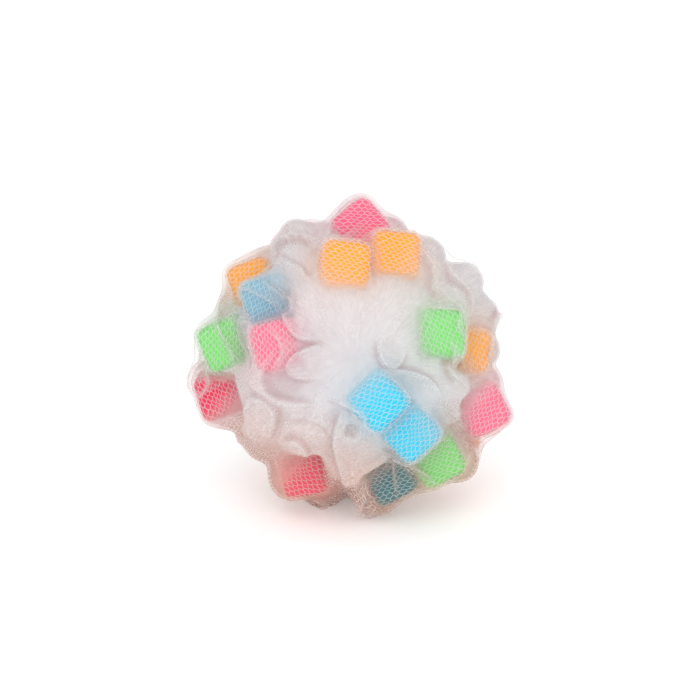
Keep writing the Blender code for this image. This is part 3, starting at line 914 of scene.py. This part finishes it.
def packed_material():
    material, tree = new_material("packed_nylon_netting")
    spot = node(tree, "ShaderNodeTexCoord")
    grain = node(tree, "ShaderNodeTexNoise", {"Vector": spot.outputs["Object"]},
                 inputs={"Scale": 420.0, "Detail": 3.0})
    shade = node(tree, "ShaderNodeMix", {"Factor": grain.outputs["Fac"]}, data_type="RGBA",
                 inputs={"A": hex_colour("#F3E9EB"), "B": hex_colour("#FDFAFB")})
    relief = node(tree, "ShaderNodeBump", {"Height": grain.outputs["Fac"]},
                  inputs={"Strength": 0.3, "Distance": 0.0004})
    shader = node(tree, "ShaderNodeBsdfPrincipled",
                  {"Base Color": shade.outputs["Result"], "Normal": relief.outputs[0]},
                  inputs={"Roughness": 0.7, "Sheen Weight": 0.2})
    node(tree, "ShaderNodeOutputMaterial", {"Surface": shader.outputs[0]})
    return material


def packed_netting():
    bm = bmesh.new()
    bmesh.ops.create_icosphere(bm, subdivisions=6, radius=1.0)
    ways = [vert.co.normalized() for vert in bm.verts]
    directions = np.array(ways)
    ball = np.array([swell(way, CORE_RADIUS) for way in ways])
    added, _ = edges_and_dips(directions)
    reach = drawn_radius(directions, ball, added, 0.0, 0.0, CORE_CORNER) - CORE_DEPTH
    for vert, way, far in zip(bm.verts, ways, reach):
        vert.co = CENTRE + way * float(far)
        vert.co.z = max(vert.co.z, CORE_FLOOR)
    mesh = bpy.data.meshes.new("netting_packed")
    bm.to_mesh(mesh)
    bm.free()
    mesh.shade_smooth()
    mesh.materials.append(packed_material())
    obj = bpy.data.objects.new("netting_packed", mesh)
    bpy.context.scene.collection.objects.link(obj)
    return obj


core = packed_netting()
print("packed netting", len(core.data.polygons), "faces")

# %% [markdown]
# Over each block the net is drawn tight, so here its threads are modelled. A
# honeycomb is laid flat, each cell is inset and its middle taken out, and the
# panel is then wrapped over the block. The long side of the cells runs round
# the ball, because the gather pulls the rows apart that way.

# %% Threads drawn over the blocks
PANEL_COLUMNS = 15
PANEL_ROWS = 30
THREAD_WIDTH = 0.00026
COVER_LIFT = 0.0011        # above the drawn layer, so that the cells stay in sight
COVER_REACH = 0.0185       # from a block's middle to the cover's rim, laid flat
COVER_SQUARENESS = 5.0     # 2 would be a ball, and a large number a cube
THREAD_PULL = 0.0006       # how far cells are pulled off their row


def flat_net(bm, columns, rows):
    """A flat panel of six-sided cells, in metres, about the origin."""
    width, height = CELL_WIDTH * MM, CELL_HEIGHT * MM
    corners = [(0.5, 0.1667), (0.5, -0.1667), (0, -0.5), (-0.5, -0.1667), (-0.5, 0.1667), (0, 0.5)]
    tall = height * 4 / 3
    first = [bm.verts.new((x * width, y * tall, 0)) for x, y in corners]
    cell = bm.faces.new(reversed(first))
    for number in range(1, columns):
        copy = bmesh.ops.duplicate(bm, geom=first + [cell])["geom"]
        moved = [item for item in copy if isinstance(item, bmesh.types.BMVert)]
        bmesh.ops.translate(bm, verts=moved, vec=(number * width, 0, 0))
    row_verts, row_faces = list(bm.verts), list(bm.faces)
    for number in range(1, rows):
        copy = bmesh.ops.duplicate(bm, geom=row_verts + row_faces)["geom"]
        moved = [item for item in copy if isinstance(item, bmesh.types.BMVert)]
        bmesh.ops.translate(bm, verts=moved,
                            vec=((number % 2) * width / 2, number * tall * 0.6667, 0))
    bmesh.ops.translate(bm, verts=bm.verts,
                        vec=(-columns * width / 2, -rows * tall * 0.6667 / 2, 0))
    bmesh.ops.remove_doubles(bm, verts=bm.verts, dist=0.00001)
    whole = list(bm.faces)
    bmesh.ops.inset_individual(bm, faces=whole, thickness=THREAD_WIDTH / 2, use_even_offset=True)
    bmesh.ops.delete(bm, geom=whole, context="FACES")


def net_over_block(middle, axes, seed):
    bm = bmesh.new()
    flat_net(bm, PANEL_COLUMNS, PANEL_ROWS)
    round_the_ball = axes.transposed() @ AXIS.cross(middle - CENTRE)
    clock_turn = math.atan2(round_the_ball.y, round_the_ball.x) + 0.25 * math.sin(seed * 2.4)
    turn = Matrix.Rotation(clock_turn, 3, "Z")
    half = BLOCK_SIDE / 2 + COVER_LIFT
    gone = []
    for vert in bm.verts:
        pull = noise.noise_vector(vert.co * 230 + Vector((seed * 3.1, 0, 0))) * THREAD_PULL
        x, y, _ = turn @ (vert.co + pull)
        away = math.hypot(x, y)
        if away > COVER_REACH:
            gone.append(vert)
            continue
        swing = min(away / (half * 1.12), 1.9)
        clock = math.atan2(y, x)
        way = Vector((math.sin(swing) * math.cos(clock), math.sin(swing) * math.sin(clock),
                      math.cos(swing)))
        size = half / sum(abs(c) ** COVER_SQUARENESS for c in way) ** (1 / COVER_SQUARENESS)
        point = middle + axes @ (way * size)
        vert.co = point + noise.noise_vector(point * 300) * 0.0003
        vert.co.z = max(vert.co.z, FLOOR_GAP)
    bmesh.ops.delete(bm, geom=gone, context="VERTS")
    return bm


BLOCK_SHINE_THROUGH_THREAD = 0.12         # how much of the block's colour shines through a thread
THREAD_CLEAR = 0.45        # how see-through it is


def thread_material(name, code):
    """One thread is clear nylon, so a little of what it crosses shows through."""
    material, tree = new_material(f"nylon_thread_over_{name}")
    # Painted light: the block's colour is mixed into the thread's base colour, for the light from
    # the block that shines through it.
    colour = [1 - BLOCK_SHINE_THROUGH_THREAD * (1 - part) for part in hex_colour(code)]
    shader = node(tree, "ShaderNodeBsdfPrincipled",
                  inputs={"Base Color": colour, "Roughness": 0.35, "IOR": 1.53,
                          "Sheen Weight": 0.3})
    through = node(tree, "ShaderNodeBsdfTranslucent", inputs={"Color": colour})
    body = node(tree, "ShaderNodeMixShader", {1: shader.outputs[0], 2: through.outputs[0]},
                inputs={0: 0.25})
    clear = node(tree, "ShaderNodeBsdfTransparent")
    mixed = node(tree, "ShaderNodeMixShader", {1: body.outputs[0], 2: clear.outputs[0]},
                 inputs={0: THREAD_CLEAR})
    node(tree, "ShaderNodeOutputMaterial", {"Surface": mixed.outputs[0]})
    return material


threads = {name: thread_material(name, code) for name, code in SPONGE_COLOURS.items()}
covers = []
for number, (name, (middle, axes)) in enumerate(blocks.items()):
    bm = net_over_block(middle, axes, number)
    piece_name = name.replace("sponge_", "net_over_")
    mesh = bpy.data.meshes.new(piece_name)
    area = sum(face.calc_area() for face in bm.faces)
    bm.to_mesh(mesh)
    bm.free()
    mesh.materials.append(threads[BLOCK_FINISH[name]])
    cover = bpy.data.objects.new(piece_name, mesh)
    bpy.context.scene.collection.objects.link(cover)
    covers.append((cover, area))
print(len(covers), "net covers", sum(len(c.data.polygons) for c, _ in covers), "faces")

# %% [markdown]
# The blocks are soft polyurethane foam, cut with a knife and tumbled, so their
# edges are round and their sides a little uneven. A bevelled cube gives the
# round edges, and once it is subdivided, noise moves its sides a little.
# Open-cell foam is dull and shows fine pores, which a cell pattern draws.

# %% Sponge blocks
PORE_SIZE = 0.0007         # metres: drawn a little coarser than real, so that it shows
UNEVENNESS = 0.0004


def sponge_material(name, code):
    material, tree = new_material(f"open_cell_foam_{name}")
    spot = node(tree, "ShaderNodeTexCoord")
    pores = node(tree, "ShaderNodeTexVoronoi", {"Vector": spot.outputs["Object"]},
                 inputs={"Scale": 1 / PORE_SIZE})
    # Painted shade: each pore is drawn darker in its middle, where shade falls into it.
    depth = node(tree, "ShaderNodeMapRange", {"Value": pores.outputs["Distance"]},
                 inputs={"From Max": 0.6, "To Min": 0.86, "To Max": 1.04})
    shade = node(tree, "ShaderNodeMix", {"B": depth.outputs[0]}, data_type="RGBA",
                 blend_type="MULTIPLY", inputs={"A": hex_colour(code), "Factor": 1.0})
    bump = node(tree, "ShaderNodeBump", {"Height": pores.outputs["Distance"]},
                inputs={"Strength": 0.3, "Distance": 0.0004})
    shader = node(tree, "ShaderNodeBsdfPrincipled",
                  {"Base Color": shade.outputs["Result"], "Normal": bump.outputs[0]},
                  inputs={"Roughness": 0.9, "Sheen Weight": 0.1})
    node(tree, "ShaderNodeOutputMaterial", {"Surface": shader.outputs[0]})
    return material


def foam_block(name, middle, axes):
    bm = bmesh.new()
    bmesh.ops.create_cube(bm, size=BLOCK_SIDE)
    bmesh.ops.bevel(bm, geom=bm.edges[:] + bm.verts[:], offset=BLOCK_ROUNDING, segments=4,
                    profile=0.5, affect="EDGES", material=-1)
    bmesh.ops.subdivide_edges(bm, edges=bm.edges[:], cuts=2, use_grid_fill=True)
    for vert in bm.verts:
        vert.co += noise.noise_vector(vert.co * 150 + middle * 40) * UNEVENNESS
    place = axes.to_4x4()
    place.translation = middle
    bmesh.ops.transform(bm, matrix=place, verts=bm.verts)
    mesh = bpy.data.meshes.new(name)
    bm.to_mesh(mesh)
    bm.free()
    mesh.shade_smooth()
    obj = bpy.data.objects.new(name, mesh)
    bpy.context.scene.collection.objects.link(obj)
    return obj


foams = {name: sponge_material(name, code) for name, code in SPONGE_COLOURS.items()}
sponges = []
for name, (middle, axes) in blocks.items():
    piece = foam_block(name.replace("sponge_", "foam_block_"), middle, axes)
    piece.data.materials.append(foams[BLOCK_FINISH[name]])
    sponges.append((piece, name))
print(len(sponges), "foam blocks")

# %% [markdown]
# The tie lies deep inside, where little of it shows. Its CAD node has the right
# shape already, so it only takes a better finish: nylon twine, whose twisted
# strands a slanting wave pattern draws.

# %% The tie's twine
def twine_material():
    material, tree = new_material("twisted_nylon_twine")
    spot = node(tree, "ShaderNodeTexCoord")
    strands = node(tree, "ShaderNodeTexWave", {"Vector": spot.outputs["Object"]},
                   inputs={"Scale": 260.0, "Distortion": 2.0, "Detail": 1.0},
                   bands_direction="DIAGONAL")
    shade = node(tree, "ShaderNodeMix", {"Factor": strands.outputs["Fac"]}, data_type="RGBA",
                 inputs={"A": hex_colour("#D9D4D2"), "B": hex_colour("#F6F3F1")})
    bump = node(tree, "ShaderNodeBump", {"Height": strands.outputs["Fac"]},
                inputs={"Strength": 0.6, "Distance": 0.0003})
    shader = node(tree, "ShaderNodeBsdfPrincipled",
                  {"Base Color": shade.outputs["Result"], "Normal": bump.outputs[0]},
                  inputs={"Roughness": 0.55, "Sheen Weight": 0.2})
    node(tree, "ShaderNodeOutputMaterial", {"Surface": shader.outputs[0]})
    return material


frame["nodes"]["gather_tie"].material_slots[0].material = twine_material()

# %% [markdown]
# Each piece rides on the one body of the part, and the CAD nodes that the netting and the blocks
# here replace are hidden. The real tube's cut can't be seen. A cover's threads fill about half of
# the square that they are cut from.

# %% Attach each piece to the body
COVER_FILL = 0.5
for piece, area in sheets:
    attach(piece, "root")
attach(core, "root")
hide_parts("net_ruffles")
for cover, area in covers:
    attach(cover, "root")
    side = math.sqrt(area / COVER_FILL)
for piece, name in sponges:
    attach(piece, "root")
    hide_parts(name)

# %% [markdown]
# The floor and the world are white where the camera sees them, and a little
# darker where they light the ball, so that white netting still shows its
# folds against the white behind it.

# %% Floor, light and camera
def studio_world():
    world = bpy.data.worlds.new("studio")
    bpy.context.scene.world = world
    world.use_nodes = True
    tree = world.node_tree
    tree.nodes.clear()
    paths = node(tree, "ShaderNodeLightPath")
    seen = node(tree, "ShaderNodeMath", {0: paths.outputs["Is Camera Ray"],
                                         1: paths.outputs["Is Glossy Ray"]}, operation="MAXIMUM")
    soft = node(tree, "ShaderNodeBackground",
                inputs={"Color": hex_colour("#FFFFFF"), "Strength": 0.88})
    white = node(tree, "ShaderNodeBackground",
                 inputs={"Color": hex_colour("#FFFFFF"), "Strength": 1.0})
    mix = node(tree, "ShaderNodeMixShader",
               {0: seen.outputs[0], 1: soft.outputs[0], 2: white.outputs[0]})
    node(tree, "ShaderNodeOutputWorld", {"Surface": mix.outputs[0]})


def studio_floor():
    bm = bmesh.new()
    bmesh.ops.create_grid(bm, x_segments=1, y_segments=1, size=3.0)
    mesh = bpy.data.meshes.new("floor")
    bm.to_mesh(mesh)
    bm.free()
    material, tree = new_material("studio_floor")
    shader = node(tree, "ShaderNodeBsdfPrincipled",
                  inputs={"Base Color": hex_colour("#FFFFFF"), "Roughness": 0.9,
                          "Emission Color": hex_colour("#FFFFFF"), "Emission Strength": 0.18})
    node(tree, "ShaderNodeOutputMaterial", {"Surface": shader.outputs[0]})
    mesh.materials.append(material)
    obj = bpy.data.objects.new("floor", mesh)
    bpy.context.scene.collection.objects.link(obj)


def lamp(name, place, energy, size):
    light = bpy.data.lights.new(name, "AREA")
    light.energy = energy
    light.size = size
    obj = bpy.data.objects.new(name, light)
    obj.location = place
    obj.rotation_euler = (Vector(place) - CENTRE).to_track_quat("Z", "Y").to_euler()
    bpy.context.scene.collection.objects.link(obj)


VIEW_WIDTH = 0.280         # metres across the picture, at the ball's middle
VIEW_LOWER = 0.0028        # the ball's middle below the middle of the picture


def camera():
    data = bpy.data.cameras.new("camera")
    data.lens = 135.0
    data.sensor_width = 36.0
    obj = bpy.data.objects.new("camera", data)
    distance = VIEW_WIDTH * data.lens / data.sensor_width
    obj.location = CENTRE + TWELVE * VIEW_LOWER + AXIS * distance
    obj.rotation_euler = AXIS.to_track_quat("Z", "Y").to_euler()
    bpy.context.scene.collection.objects.link(obj)
    bpy.context.scene.camera = obj


studio_world()
studio_floor()
lamp("key", (-0.08, -0.80, 0.85), 3.0, 0.8)
camera()
bpy.context.scene.view_settings.view_transform = "Standard"
bpy.context.scene.cycles.transparent_max_bounces = 32
